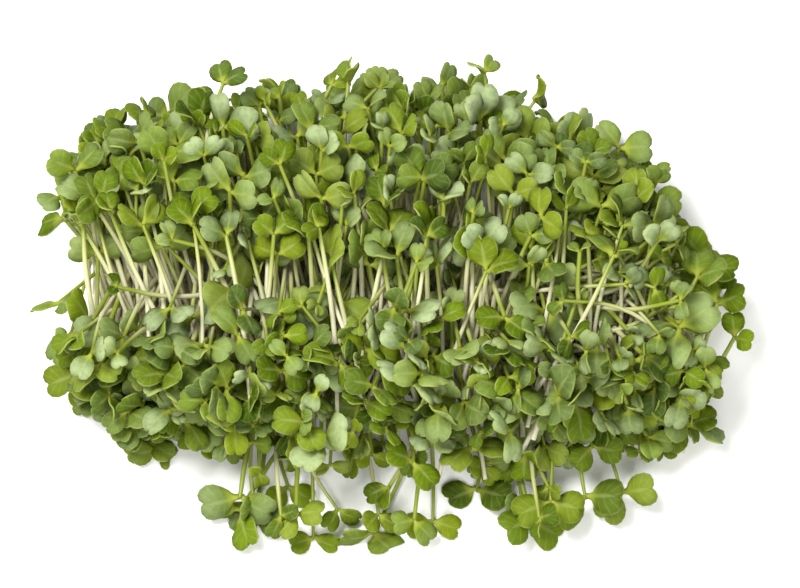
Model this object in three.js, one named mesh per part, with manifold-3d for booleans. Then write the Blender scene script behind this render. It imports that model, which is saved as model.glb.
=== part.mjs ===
// A heap of cut microgreens, lying on a flat surface.
// It is two bunches of mustard-like seedlings, laid with their cut ends together and their heads apart:
// the far bunch's heads point towards +Y and the near bunch's towards -Y. Each seedling is a pale stem with
// a pair of notched, heart-shaped seed leaves. Stems that cross and hold together make one sprig.
// Lengths are in millimetres. X runs along the heap, Z is up, and the surface is at Z = 0.

import * as THREE from "three";
import Module from "manifold-3d";
import { mergeVertices } from "three/addons/utils/BufferGeometryUtils.js";

const wasm = await Module();
wasm.setup();

// Driving dimensions of the heap

const HALF_LENGTH = 113;
const HEAP_HEIGHT = 46;
const BOX_MIDDLE = { x: -1.8, y: 1.3 }; // the middle of the heap's box, which becomes the origin
const END_ROOM = 9; // left for the leaves beyond the last stems' tops at either end
const CLEARANCE = 0.35; // left between one sprig and the next

// Driving dimensions of a seedling

const SEEDLING_LENGTH = { shortest: 40, longest: 54 };
const STRETCHES = 3; // of equal length, that a stem is bent in
const STEM = { width: 1.9, depth: 1.5 };
const LEAF_LENGTH = { shortest: 7.5, longest: 13 }; // with its short stalk
const LEAF_BREADTH = { narrowest: 0.84, broadest: 1 }; // as a share of the leaf's length
const LEAF_THICKNESS = 0.7;
const PARTING = 1.2; // how far above the stem's top the two leaves part

// Half of a leaf's outline, from beside its stalk to the notch at its tip, as shares of length and breadth
const HALF_LEAF = [
  { along: 0.62, across: 0.5 },
  { along: 1, across: 0.28 },
];
const NOTCH = { along: 0.88, across: 0 };

// A sprig is up to three seedlings, which turn away from its heading by these angles. The second crosses the
// first, and the third crosses the second: each does so halfway along its own first stretch, at this share
// of the other's first stretch.
const SEEDLINGS = [
  { turn: -11 },
  { turn: 17, crosses: 0, share: 0.28 },
  { turn: -5, crosses: 1, share: 0.7 },
];
const TRIES = 250; // how often a seedling's place is drawn again before it is left out

// Each bunch: its side of the heap, the outline of its heads in plan and the line where they begin, both from
// left to right, and the heads that stand out at its edge. Those lie low, and the others make a mound in
// rows, whose depth runs from 0 at that line to 1 at the outline.
const BUNCHES = [
  {
    name: "far",
    side: 1,
    outline: [[-106, 38], [-94, 55], [-66, 65], [-40, 75], [0, 79], [24, 78], [60, 61], [80, 38], [94, 4]],
    beginning: [[-113, 19], [0, 13], [113, 14]],
    stragglers: [[-106, 41], [-94, 54], [-74, 65], [-40, 74], [-4, 77], [20, 76], [56, 60], [76, 40], [88, 14]],
    colour: "#7f9d5c",
  },
  {
    name: "near",
    side: -1,
    outline: [[-102, -6], [-94, -28], [-66, -46], [-30, -62], [10, -65], [54, -60], [80, -42], [104, -20]],
    beginning: [[-113, -18], [-40, -10], [20, -8], [60, -13], [113, -20]],
    stragglers: [[-101, -9], [-94, -29], [-78, -42], [-47, -65], [-31, -74], [0, -72], [38, -68], [55, -64],
      [90, -40], [104, -24]],
    colour: "#86a463",
  },
];

const MOUND_ROWS = [
  { depth: 0.06, columns: 7, shift: 0 },
  { depth: 0.45, columns: 7, shift: 0.4 },
  { depth: 0.85, columns: 6, shift: 0.1 },
];

// Random numbers that come out the same each time for the same seed

function seededDraw(seed) {
  let state = seed >>> 0;
  return (low = 0, high = 1) => {
    state = (state + 0x6d2b79f5) >>> 0;
    let mixed = Math.imul(state ^ (state >>> 15), state | 1);
    mixed ^= mixed + Math.imul(mixed ^ (mixed >>> 7), mixed | 61);
    return low + ((high - low) * ((mixed ^ (mixed >>> 14)) >>> 0)) / 4294967296;
  };
}

const radians = THREE.MathUtils.degToRad;

function direction(headingDegrees, climbDegrees) {
  const heading = radians(headingDegrees);
  const climb = radians(climbDegrees);
  return new THREE.Vector3(
    Math.cos(climb) * Math.sin(heading),
    Math.cos(climb) * Math.cos(heading),
    Math.sin(climb),
  );
}

// Where the heads lie

function outlineAt(outline, x) {
  let index = 1;
  while (index < outline.length - 1 && x > outline[index][0]) index += 1;
  const [[leftX, leftY], [rightX, rightY]] = [outline[index - 1], outline[index]];
  return leftY + ((rightY - leftY) * (x - leftX)) / (rightX - leftX);
}

function moundHeight(x, depth) {
  const ridge = 0.3;
  const fall = depth < ridge ? 0.2 * ((ridge - depth) / ridge) ** 2 : 0.78 * ((depth - ridge) / (1 - ridge)) ** 2;
  return HEAP_HEIGHT * (1 - fall) * (1 - 0.5 * Math.abs(x / HALF_LENGTH) ** 3);
}

function headPlaces(bunch) {
  const places = bunch.stragglers.map(([x, y]) => ({ x, y, z: 4 }));
  MOUND_ROWS.forEach(({ depth, columns, shift }, row) => {
    for (let column = 0; column < columns; column += 1) {
      const draw = seededDraw(row * 10 + column + 1);
      const across = (column + 0.3 + shift) / columns;
      const x = (2 * across - 1) * 0.94 * HALF_LENGTH;
      const start = outlineAt(bunch.beginning, x);
      const edge = 0.93 * outlineAt(bunch.outline, x);
      const sunk = 0.4 * draw() ** 2;
      places.push({ x, y: start + (edge - start) * depth, z: moundHeight(x, depth) * (1 - sunk) });
    }
  });
  return places;
}

// A sprig's plan: its first seedling's length, heading and climb, and the middle of that one's first stretch

function sprigPlan(bunch, head, number, draw) {
  const lean = (24 * head.x) / HALF_LENGTH + draw(-10, 10);
  const heading = bunch.side > 0 ? lean : 180 - lean;
  const length = draw(SEEDLING_LENGTH.shortest, SEEDLING_LENGTH.longest);
  const reach = (length * (STRETCHES - 0.5)) / STRETCHES;
  const start = new THREE.Vector3(
    head.x + draw(-5, 5),
    head.y + bunch.side * draw(-7, 0),
    Math.max(3.5, head.z * draw(0.1, 0.45)),
  );
  const climb = THREE.MathUtils.radToDeg(Math.asin(Math.min(0.88, (head.z - start.z) / reach)));
  start.addScaledVector(direction(heading, 0), -reach * Math.cos(radians(climb)));
  return { heading, climb, length, start, hand: number % 2 ? 1 : -1 };
}

// One seedling: the points that its stem bends at, and its pair of leaves. It is laid through a given point,
// halfway along its first stretch.

function keptUp(point) {
  return point.setZ(Math.max(Math.hypot(STEM.width, STEM.depth) / 2 + 0.1, point.z));
}

function seedling(plan, place, through, draw) {
  const heading = plan.heading + plan.hand * SEEDLINGS[place].turn + draw(-6, 6);
  const climb = plan.climb + draw(-13, 13);
  const stretch = (plan.length * (place === 0 ? 1 : draw(0.84, 1.04))) / STRETCHES;
  const bend = draw(-7, 7);
  const curl = draw(-3, 9);
  const first = direction(heading + bend, climb * 0.8);
  const cut = keptUp(through.clone().addScaledVector(first, -stretch / 2));
  const lower = keptUp(through.clone().addScaledVector(first, stretch / 2));
  const upper = keptUp(lower.clone().addScaledVector(direction(heading, climb + curl), stretch));
  const end = direction(heading - bend, climb - curl);
  const top = keptUp(upper.clone().addScaledVector(end, stretch));

  const tip = end.clone();
  tip.z += draw(0, 0.6);
  tip.normalize();
  const level = new THREE.Vector3(tip.y, -tip.x, 0).normalize();
  level.applyAxisAngle(tip, radians(draw(-55, 55)));
  const open = level.clone().cross(tip).normalize();
  const length = draw(LEAF_LENGTH.shortest, LEAF_LENGTH.longest);
  const leaves = [1, -1].map((side) => {
    const spread = radians(draw(44, 78));
    const facing = draw(0.4, 1);
    const along = tip.clone().multiplyScalar(Math.cos(spread)).addScaledVector(level, side * Math.sin(spread));
    const inward = tip.clone().multiplyScalar(Math.sin(spread)).addScaledVector(level, -side * Math.cos(spread));
    const normal = inward.multiplyScalar(1 - facing).addScaledVector(open, facing).normalize();
    const across = normal.clone().cross(along).multiplyScalar(side);
    const size = length * draw(0.88, 1.06);
    return {
      base: top,
      along,
      across,
      normal,
      length: size,
      breadth: size * draw(LEAF_BREADTH.narrowest, LEAF_BREADTH.broadest),
      droop: draw(-0.04, 0.2) * size,
      fold: draw(-0.12, 0.42),
    };
  });
  return { path: [cut, lower, upper, top], tip, level, open, leaves };
}

// A point halfway through a leaf's thickness, where across is towards the other leaf, and its normal there
function leafPoint(leaf, { along, across }) {
  const height = -leaf.droop * along * along + leaf.fold * Math.abs(across) * leaf.breadth;
  const point = leaf.base.clone()
    .addScaledVector(leaf.along, along * leaf.length)
    .addScaledVector(leaf.across, across * leaf.breadth)
    .addScaledVector(leaf.normal, height);
  return { point, normal: leaf.normal, half: LEAF_THICKNESS / 2 };
}

// The outline round both leaves: from where they part, round one leaf to the near side of the stem's top,
// and from its other side round the other leaf
function pairOutline({ path, tip, level, open, leaves }) {
  const top = path[path.length - 1];
  const inner = HALF_LEAF;
  const outer = HALF_LEAF.map(({ along, across }) => ({ along, across: -across }));
  const stemSide = (side) => ({
    point: top.clone().addScaledVector(level, (side * STEM.width) / 2),
    normal: open,
    half: STEM.depth / 2,
  });
  return [
    { point: top.clone().addScaledVector(tip, PARTING), normal: open, half: LEAF_THICKNESS / 2 },
    ...[...inner, NOTCH, ...outer.toReversed()].map((spot) => leafPoint(leaves[0], spot)),
    stemSide(1),
    stemSide(-1),
    ...[...outer, NOTCH, ...inner.toReversed()].map((spot) => leafPoint(leaves[1], spot)),
  ];
}

// The points of the upper and then the lower face. Where a leaf would pass through the surface, both faces
// are pressed up together, so that it lies on it.
function facePoints(outline) {
  const upper = outline.map(({ point, normal, half }) => point.clone().addScaledVector(normal, half));
  const lower = outline.map(({ point, normal, half }) => point.clone().addScaledVector(normal, -half));
  upper.forEach((point, index) => {
    const sunk = Math.min(0, point.z, lower[index].z);
    point.z -= sunk;
    lower[index].z -= sunk;
  });
  return [...upper, ...lower];
}

// The four corners of the stem at one of its bends
function stemRing({ path, open }, index) {
  const ahead = path[index + 1].clone().sub(path[Math.max(0, index - 1)]).normalize();
  const wide = ahead.clone().cross(open).normalize();
  const deep = wide.clone().cross(ahead);
  const corner = (across, up) => path[index].clone()
    .addScaledVector(wide, (across * STEM.width) / 2)
    .addScaledVector(deep, (up * STEM.depth) / 2);
  return [corner(1, 1), corner(-1, 1), corner(-1, -1), corner(1, -1)];
}

// Solids

function solidOf(geometry) {
  const merged = mergeVertices(geometry, 1e-4);
  return new wasm.Manifold(new wasm.Mesh({
    numProp: 3,
    vertProperties: Float32Array.from(merged.attributes.position.array),
    triVerts: Uint32Array.from(merged.index.array),
  }));
}

// The pair of leaves: two faces of the same triangles, fanned from each notch, and a rim that stays open
// where the stem comes in
function pairFaces(corners) {
  const half = HALF_LEAF.length + 1;
  const [rightSide, leftSide] = [2 * half, 2 * half + 1];
  const triangles = [[0, leftSide, rightSide]];
  for (const notch of [half, corners - half]) {
    const after = Array.from({ length: half }, (_, step) => (notch + 1 + step) % corners);
    const before = Array.from({ length: half }, (_, step) => notch - half + step);
    const ring = [...after, ...before];
    for (let step = 1; step < ring.length; step += 1) triangles.push([notch, ring[step], ring[step - 1]]);
  }
  const faces = triangles.flatMap(([a, b, c]) => [a, b, c, a + corners, c + corners, b + corners]);
  for (let corner = 0; corner < corners; corner += 1) {
    if (corner === rightSide) continue;
    const next = (corner + 1) % corners;
    faces.push(corner, next, next + corners, corner, next + corners, corner + corners);
  }
  return { faces, stemTop: [rightSide, leftSide, leftSide + corners, rightSide + corners] };
}

// A whole seedling is one skin: the stem's rings of corners run down from the open rim between its leaves
function plantSolid(plant) {
  const outline = pairOutline(plant);
  const points = facePoints(outline);
  const { faces, stemTop } = pairFaces(outline.length);
  let above = stemTop;
  for (let index = STRETCHES - 1; index >= 0; index -= 1) {
    const ring = stemRing(plant, index).map((point) => points.push(point) - 1);
    for (let side = 0; side < ring.length; side += 1) {
      const next = (side + 1) % ring.length;
      faces.push(ring[side], above[side], above[next], ring[side], above[next], ring[next]);
    }
    above = ring;
  }
  faces.push(above[0], above[1], above[2], above[0], above[2], above[3]);
  const geometry = new THREE.BufferGeometry().setFromPoints(points);
  geometry.setIndex(faces);
  return solidOf(geometry);
}

// A sprig's seedlings are tried one after the other. Each is kept where its head is inside the outline of
// its bunch, it touches the others only where its stem crosses theirs, and it is clear of the sprigs
// already laid.

function clearOf(solid, others) {
  return others.every((other) => solid.minGap(other, 1) >= CLEARANCE);
}

function boxesMeet(first, second) {
  return [0, 1, 2].every((axis) => first.min[axis] - 1 < second.max[axis] && second.min[axis] - 1 < first.max[axis]);
}

function insideOutline(bunch, head, { x, y }) {
  const furthest = Math.max(bunch.side * outlineAt(bunch.outline, x), bunch.side * head.y) + 3;
  return Math.abs(x) < HALF_LENGTH - END_ROOM && bunch.side * y < furthest;
}

function sprigSolid(bunch, head, number, laid) {
  let whole = null;
  let plan = null;
  const paths = [];
  SEEDLINGS.forEach(({ crosses, share }, place) => {
    if (place > 0 && !paths[crosses]) return;
    for (let attempt = 0; attempt < TRIES; attempt += 1) {
      const draw = seededDraw(number * 100000 + place * 1000 + attempt);
      if (place === 0) plan = sprigPlan(bunch, head, number, draw);
      const through = place === 0 ? plan.start : paths[crosses][0].clone().lerp(paths[crosses][1], share);
      const plant = seedling(plan, place, through, draw);
      if (!insideOutline(bunch, head, plant.path[STRETCHES])) continue;
      const body = plantSolid(plant);
      const box = body.boundingBox();
      if (!clearOf(body, laid.filter((other) => boxesMeet(box, other.boundingBox())))) continue;
      const joined = whole ? whole.add(body) : body;
      if (joined.genus() !== 0 || joined.decompose().length !== 1) continue;
      whole = joined;
      paths[place] = plant.path;
      return;
    }
  });
  return whole;
}

function meshOf(solid, name, colour) {
  const { vertProperties, triVerts } = solid.getMesh();
  const geometry = new THREE.BufferGeometry();
  geometry.setAttribute("position", new THREE.BufferAttribute(vertProperties, 3));
  geometry.setIndex(new THREE.BufferAttribute(triVerts, 1));
  geometry.computeVertexNormals();
  const material = new THREE.MeshStandardMaterial({ color: colour, roughness: 0.5, metalness: 0 });
  const mesh = new THREE.Mesh(geometry, material);
  mesh.name = name;
  return mesh;
}

// The heap: the stragglers of both bunches are laid first, and then the mounds' sprigs, in turn

const heap = new THREE.Group();
const laid = [];
const sprigs = BUNCHES.flatMap((bunch) => headPlaces(bunch).map((head, index) => {
  const number = index + 1;
  const order = index - bunch.stragglers.length + (index % 2 ? bunch.side / 4 : -bunch.side / 4);
  return { bunch, head, number, order: Math.max(0, order) };
}));
sprigs.sort((first, second) => first.order - second.order);
for (const { bunch, head, number } of sprigs) {
  const solid = sprigSolid(bunch, head, number + (bunch.side > 0 ? 0 : 100), laid);
  if (!solid) continue;
  laid.push(solid);
  heap.add(meshOf(solid, `${bunch.name}_sprig_${String(number).padStart(2, "0")}`, bunch.colour));
}
heap.position.set(-BOX_MIDDLE.x, -BOX_MIDDLE.y, 0);

export default heap;
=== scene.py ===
"""The look of a heap of cut microgreens, lying on a pale floor.

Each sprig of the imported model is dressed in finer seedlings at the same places: a stem on a smooth curve, and
a pair of notched, heart-shaped seed leaves. The rule that lays them is the one in the part's source, and the
same rule then lays the smaller seedlings that fill the heap between the sprigs.
The rule's lengths are in millimetres. Meshes, lights and the camera are in metres.
"""

import math

import bpy
import numpy as np
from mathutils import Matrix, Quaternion, Vector
from mathutils.bvhtree import BVHTree
from mathutils.kdtree import KDTree


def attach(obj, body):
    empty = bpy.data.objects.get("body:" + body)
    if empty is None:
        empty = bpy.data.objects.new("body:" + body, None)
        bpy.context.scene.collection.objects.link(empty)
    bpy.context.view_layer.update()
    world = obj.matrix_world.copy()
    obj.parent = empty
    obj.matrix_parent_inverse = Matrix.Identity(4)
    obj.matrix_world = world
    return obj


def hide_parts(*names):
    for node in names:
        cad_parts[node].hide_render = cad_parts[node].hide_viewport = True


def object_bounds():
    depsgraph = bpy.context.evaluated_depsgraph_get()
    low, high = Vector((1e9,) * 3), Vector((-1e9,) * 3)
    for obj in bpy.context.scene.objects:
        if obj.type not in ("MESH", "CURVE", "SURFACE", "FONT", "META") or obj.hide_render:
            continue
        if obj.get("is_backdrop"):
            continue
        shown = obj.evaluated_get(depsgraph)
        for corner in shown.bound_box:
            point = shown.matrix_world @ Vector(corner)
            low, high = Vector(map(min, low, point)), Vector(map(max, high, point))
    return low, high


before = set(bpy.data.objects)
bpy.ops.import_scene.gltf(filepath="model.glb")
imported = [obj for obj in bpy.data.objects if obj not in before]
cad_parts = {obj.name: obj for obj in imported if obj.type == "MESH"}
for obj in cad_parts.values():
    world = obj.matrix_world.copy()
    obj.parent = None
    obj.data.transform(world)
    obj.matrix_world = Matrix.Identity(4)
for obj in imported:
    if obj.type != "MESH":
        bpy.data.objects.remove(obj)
cad_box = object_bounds()

MM = 0.001

# The heap, as in the part's source

HALF_LENGTH = 113
HEAP_HEIGHT = 46
BOX_MIDDLE = Vector((-1.8, 1.3, 0))
UP = Vector((0, 0, 1))

# The mound's height: where between its beginning and its outline it is highest, and the shares of its height
# that it falls by inwards and outwards from there, and towards the heap's ends
RIDGE = 0.3
FALL = {"inwards": 0.2, "outwards": 0.78, "ends": 0.5}

# Rows of heads: the share of a column's width that the first starts at, how much of the heap's length a row
# takes up, how far out towards the outline the rows reach, and how much lower than the mound a head may be
FIRST_COLUMN = 0.3
ROW_LENGTH = 0.94
ROW_REACH = 0.93
MOST_SUNK = 0.4
STRAGGLER_HEIGHT = 4

SEEDLING_LENGTH = (40, 54)
STRETCHES = 3  # of equal length, that a stem is bent in
STEM = {"width": 1.9, "depth": 1.5}
LEAN_AT_ENDS = 24  # degrees that the stems turn outwards at the heap's ends
HEAD_DRIFT = {"x": (-5, 5), "y": (-7, 0)}  # from its place, where y is towards the middle of the heap
LOWEST_START = 3.5
STEEPEST = 0.88  # the sine of the steepest climb
UNDER_STEM = 0.1  # left between a stem and the floor

# How much one seedling differs from its plan: angles in degrees, and lengths as shares
OWN_HEADING = (-6, 6)
OWN_CLIMB = (-13, 13)
FIRST_CLIMB = 0.8  # the share of its climb that a stem has at its cut end
OWN_STRETCH = (0.84, 1.04)
BEND = (-7, 7)
CURL = (-3, 9)
TIP_LIFT = (0, 0.6)
PAIR_SIZE = (0.88, 1.06)

LARGE_LEAF = {
    "length": (7.5, 13), "breadth": (0.84, 1), "spread": (44, 78), "facing": (0.4, 1), "roll": 55,
    "fold": (-0.12, 0.42), "droop": (-0.04, 0.2),
}
LEAF_THICKNESS = 0.7
LOBE_TIP = {"along": 1, "across": 0.28}
WIDEST = {"along": 0.62, "across": 0.5}
NOTCH = {"along": 0.88, "across": 0}

SEEDLINGS = [
    {"turn": -11},
    {"turn": 17, "crosses": 0, "share": 0.28},
    {"turn": -5, "crosses": 1, "share": 0.7},
]
TRIES = 250

BUNCHES = {
    "far": {
        "side": 1,
        "outline": [(-106, 38), (-94, 55), (-66, 65), (-40, 75), (0, 79), (24, 78), (60, 61), (80, 38),
                    (94, 4)],
        "beginning": [(-113, 19), (0, 13), (113, 14)],
        "stragglers": [(-106, 41), (-94, 54), (-74, 65), (-40, 74), (-4, 77), (20, 76), (56, 60), (76, 40),
                       (88, 14)],
    },
    "near": {
        "side": -1,
        "outline": [(-102, -6), (-94, -28), (-66, -46), (-30, -62), (10, -65), (54, -60), (80, -42),
                    (104, -20)],
        "beginning": [(-113, -18), (-40, -10), (20, -8), (60, -13), (113, -20)],
        "stragglers": [(-101, -9), (-94, -29), (-78, -42), (-47, -65), (-31, -74), (0, -72), (38, -68),
                       (55, -64), (90, -40), (104, -24)],
    },
}
MOUND_ROWS = [
    {"depth": 0.06, "columns": 7, "shift": 0},
    {"depth": 0.45, "columns": 7, "shift": 0.4},
    {"depth": 0.85, "columns": 6, "shift": 0.1},
]

# The seedlings that fill the heap, in rows over each bunch as above. Reach is the share of the mound's height
# that their heads are at, rest is the share of that height where their stems' cut ends lie, and leaf is the
# range of their leaves' lengths. Their rows have an outline and a beginning of their own.

SMALL_LEAF = {
    "breadth": (0.72, 1.02), "spread": (18, 76), "facing": (0.1, 1), "roll": 80, "fold": (-0.1, 0.75),
    "droop": (-0.06, 0.42),
}

CANOPY = {"reach": (0.84, 1.08), "rest": (0.1, 0.5), "leaf": (5, 11.5)}
EDGE = {"reach": (0.3, 1.1), "rest": (0.1, 0.5), "leaf": (5, 9.5)}
UNDER_CANOPY = {"reach": (0.4, 0.75), "rest": (0.1, 0.4), "leaf": (6, 9)}
OVER_THE_MIDDLE = {"reach": (0.84, 1.04), "rest": (0.62, 0.86), "leaf": (6, 11)}
HANGING = {"reach": (0.55, 0.8), "rest": (0.5, 0.8), "leaf": (4.5, 7)}
DEEP = {"reach": (0.3, 0.6), "rest": (0.2, 0.9), "leaf": (4.5, 7)}

FILL_LINES = {
    "far": {
        "outline": [(-112, 40), (-94, 62), (-80, 73), (-60, 73), (-40, 80), (0, 83), (24, 81), (60, 65),
                    (80, 44), (94, 24), (113, 20)],
        "beginning": [(-113, 27), (-60, 23), (-25, 12), (35, 9), (70, 19), (113, 23)],
    },
    "near": {
        "outline": [(-108, -32), (-94, -36), (-84, -43), (-65, -45), (-48, -50), (-36, -58), (18, -56),
                    (44, -56), (60, -50), (74, -44), (84, -37), (94, -34), (108, -32)],
        "beginning": [(-113, -26), (-60, -24), (-30, -12), (30, -9), (60, -20), (113, -30)],
    },
}
FILL_ROWS = {
    "far": [
        {"depth": 0.02, "columns": 22, "shift": 0.4, **OVER_THE_MIDDLE},
        {"depth": 0.12, "columns": 23, "shift": 0.1, **OVER_THE_MIDDLE},
        {"depth": -0.1, "columns": 5, "shift": 0.3, **HANGING},
        {"depth": 0.08, "columns": 26, "shift": 0.5, **DEEP},
        {"depth": 0.07, "columns": 22, "shift": 0.6, **CANOPY},
        {"depth": 0.18, "columns": 22, "shift": 0.1, **CANOPY},
        {"depth": 0.28, "columns": 22, "shift": 0.5, **CANOPY},
        {"depth": 0.38, "columns": 22, "shift": 0.0, **CANOPY},
        {"depth": 0.48, "columns": 22, "shift": 0.5, **CANOPY},
        {"depth": 0.58, "columns": 22, "shift": 0.1, **CANOPY},
        {"depth": 0.68, "columns": 21, "shift": 0.5, **CANOPY},
        {"depth": 0.78, "columns": 20, "shift": 0.2, **CANOPY},
        {"depth": 0.88, "columns": 18, "shift": 0.6, **EDGE},
        {"depth": 0.99, "columns": 15, "shift": 0.1, **EDGE},
        {"depth": 0.2, "columns": 18, "shift": 0.3, **UNDER_CANOPY},
        {"depth": 0.45, "columns": 19, "shift": 0.7, **UNDER_CANOPY},
        {"depth": 0.7, "columns": 18, "shift": 0.0, **UNDER_CANOPY},
        {"depth": 0.9, "columns": 16, "shift": 0.4, **UNDER_CANOPY},
    ],
    "near": [
        {"depth": 0.0, "columns": 8, "shift": 0.3, **HANGING},
        {"depth": 0.1, "columns": 26, "shift": 0.5, **DEEP},
        {"depth": 0.1, "columns": 22, "shift": 0.0, **CANOPY},
        {"depth": 0.2, "columns": 22, "shift": 0.5, **CANOPY},
        {"depth": 0.3, "columns": 22, "shift": 0.1, **CANOPY},
        {"depth": 0.4, "columns": 22, "shift": 0.5, **CANOPY},
        {"depth": 0.5, "columns": 22, "shift": 0.0, **CANOPY},
        {"depth": 0.6, "columns": 22, "shift": 0.5, **CANOPY},
        {"depth": 0.71, "columns": 21, "shift": 0.1, **CANOPY},
        {"depth": 0.82, "columns": 18, "shift": 0.5, **EDGE},
        {"depth": 0.94, "columns": 15, "shift": 0.2, **EDGE},
        {"depth": 0.2, "columns": 18, "shift": 0.3, **UNDER_CANOPY},
        {"depth": 0.45, "columns": 19, "shift": 0.7, **UNDER_CANOPY},
        {"depth": 0.68, "columns": 18, "shift": 0.0, **UNDER_CANOPY},
        {"depth": 0.85, "columns": 17, "shift": 0.4, **UNDER_CANOPY},
        {"depth": 0.33, "columns": 19, "shift": 0.2, **UNDER_CANOPY},
        {"depth": 0.57, "columns": 19, "shift": 0.5, **UNDER_CANOPY},
    ],
}

# Seedlings that lie across the others or stand out at the edge, in boxes where their heads are drawn.
# Curve is how much more their stems bend, and greening how much further down they are green: partly the stems'
# own green, and partly painted green light, bounced among the leaves onto stems in the heap's shade.
TANGLE = {"rest": (0.4, 0.75), "leaf": (4, 6.5), "curve": 4.5, "greening_and_bounce_light": 0.1}
OUTLIER = {"rest": (0.3, 1.0), "leaf": (4.5, 8.5), "curve": 4, "greening_and_bounce_light": 0}
DRAPED = {"rest": (0.5, 0.8), "leaf": (4, 6.5), "lean": (-25, 25), "greening_and_bounce_light": 0.1}
STRAYS = [
    {"bunch": "far", "count": 16, "seed": 9050, "x": (-46, 62), "y": (-4, 12), "z": (20, 36), **DRAPED},
    {"bunch": "near", "count": 12, "seed": 9000, "x": (-46, 62), "y": (-12, 4), "z": (18, 34), **DRAPED},
    {"bunch": "near", "count": 11, "seed": 9100, "x": (66, 98), "y": (-22, 6), "z": (22, 38),
     "lean": (45, 85), **TANGLE},
    {"bunch": "far", "count": 8, "seed": 9200, "x": (66, 94), "y": (2, 24), "z": (22, 38),
     "lean": (50, 85), **TANGLE},
    {"bunch": "far", "count": 5, "seed": 9250, "x": (40, 66), "y": (2, 12), "z": (28, 40),
     "lean": (-75, -45), **TANGLE},
    {"bunch": "far", "count": 3, "seed": 9300, "x": (-98, -70), "y": (2, 12), "z": (26, 34),
     "lean": (-80, -40), **TANGLE},
    {"bunch": "near", "count": 3, "seed": 9400, "x": (-54, -30), "y": (-75, -62), "z": (3, 12),
     "lean": (-25, 20), **OUTLIER},
    {"bunch": "near", "count": 3, "seed": 9500, "x": (-22, 14), "y": (-73, -62), "z": (3, 12),
     "lean": (-30, 30), **OUTLIER},
    {"bunch": "near", "count": 3, "seed": 9600, "x": (38, 55), "y": (-71, -60), "z": (3, 12),
     "lean": (-25, 25), **OUTLIER},
    {"bunch": "near", "count": 7, "seed": 9700, "x": (78, 104), "y": (-46, -26), "z": (3, 16),
     "lean": (-10, 40), **OUTLIER},
    {"bunch": "far", "count": 4, "seed": 9800, "x": (84, 103), "y": (4, 22), "z": (4, 20),
     "lean": (10, 50), **OUTLIER},
    {"bunch": "far", "count": 5, "seed": 9900, "x": (-108, -84), "y": (44, 68), "z": (4, 20),
     "lean": (-30, -5), **OUTLIER},
    {"bunch": "far", "count": 9, "seed": 9950, "x": (-48, 56), "y": (66, 75), "z": (20, 32),
     "lean": (-25, 25), **OUTLIER},
]
PALE_MIDDLE = 0.3  # the share of the way out from the heap's middle where all stems are pale low down
EDGE_GREENING_AND_BOUNCE = 0.35  # how much further down they are green at the edge: partly the stems' own green, partly painted green light bounced among the leaves onto stems in shade
FILL_DRIFT = {"x": (-4, 4), "y": (-3, 3)}  # of a head from its place in a row
FILL_TRIES = 24
MOST_CROSSINGS = 9  # faces that may pass through others, counted on the coarse skins below
FILL_SEED = {"far": 5000, "near": 7000}
ROW_SEEDS = 30  # kept for each row
TRY_SEEDS = 100  # kept for each filling seedling
PLANTS_PER_PIECE = 110

# The ends of the heap in plan, as the x where it ends at each y
LEFT_END = [(-60, -60), (-48, -82), (-30, -101), (-14, -103), (-2, -96), (10, -95), (22, -97), (34, -105),
            (48, -104), (60, -99), (78, -76)]
RIGHT_END = [(-60, 72), (-42, 96), (-26, 99), (-8, 93), (10, 90), (24, 89), (42, 85), (60, 72), (78, 36)]
BOX_MARGIN = 0.2  # kept between a filling seedling and the sides of the model's box

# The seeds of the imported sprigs' seedlings, as in the part's source
SPRIG_SEEDS = 100000
PLACE_SEEDS = 1000
NEAR_NUMBERS = 100
MATCH = 0.03  # how near a drawn corner has to be to a packed one

WORD = 0xFFFFFFFF


def seeded_draw(seed):
    """Random numbers that come out the same each time for the same seed."""
    state = seed & WORD

    def draw(low=0.0, high=1.0):
        nonlocal state
        state = (state + 0x6D2B79F5) & WORD
        mixed = ((state ^ (state >> 15)) * (state | 1)) & WORD
        mixed ^= (mixed + (mixed ^ (mixed >> 7)) * (mixed | 61)) & WORD
        return low + (high - low) * (mixed ^ (mixed >> 14)) / 4294967296

    return draw


def direction(heading_degrees, climb_degrees):
    heading = math.radians(heading_degrees)
    climb = math.radians(climb_degrees)
    level = math.cos(climb)
    return Vector((level * math.sin(heading), level * math.cos(heading), math.sin(climb)))


def outline_at(outline, x):
    """The second number that a line of points has where the first is x."""
    index = 1
    while index < len(outline) - 1 and x > outline[index][0]:
        index += 1
    (left_x, left_y), (right_x, right_y) = outline[index - 1], outline[index]
    return left_y + (right_y - left_y) * (x - left_x) / (right_x - left_x)


def mound_height(x, depth):
    """The top of the mound: highest along a ridge, and falling to both sides of it and to the heap's ends."""
    if depth < RIDGE:
        fall = FALL["inwards"] * ((RIDGE - depth) / RIDGE) ** 2
    else:
        fall = FALL["outwards"] * ((depth - RIDGE) / (1 - RIDGE)) ** 2
    return HEAP_HEIGHT * (1 - fall) * (1 - FALL["ends"] * abs(x / HALF_LENGTH) ** 3)


def head_in_row(bunch, row, column, height_share):
    """Where one head of a row lies over the mound."""
    across = (column + FIRST_COLUMN + row["shift"]) / row["columns"]
    x = (2 * across - 1) * ROW_LENGTH * HALF_LENGTH
    start = outline_at(bunch["beginning"], x)
    edge = ROW_REACH * outline_at(bunch["outline"], x)
    y = start + (edge - start) * row["depth"]
    return Vector((x, y, mound_height(x, row["depth"]) * height_share))


def head_places(bunch):
    """Where the heads of a bunch's packed sprigs lie: first those at the edge, then row by row."""
    places = [Vector((x, y, STRAGGLER_HEIGHT)) for x, y in bunch["stragglers"]]
    for number, row in enumerate(MOUND_ROWS):
        for column in range(row["columns"]):
            sunk = MOST_SUNK * seeded_draw(number * 10 + column + 1)() ** 2
            places.append(head_in_row(bunch, row, column, 1 - sunk))
    return places


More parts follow.
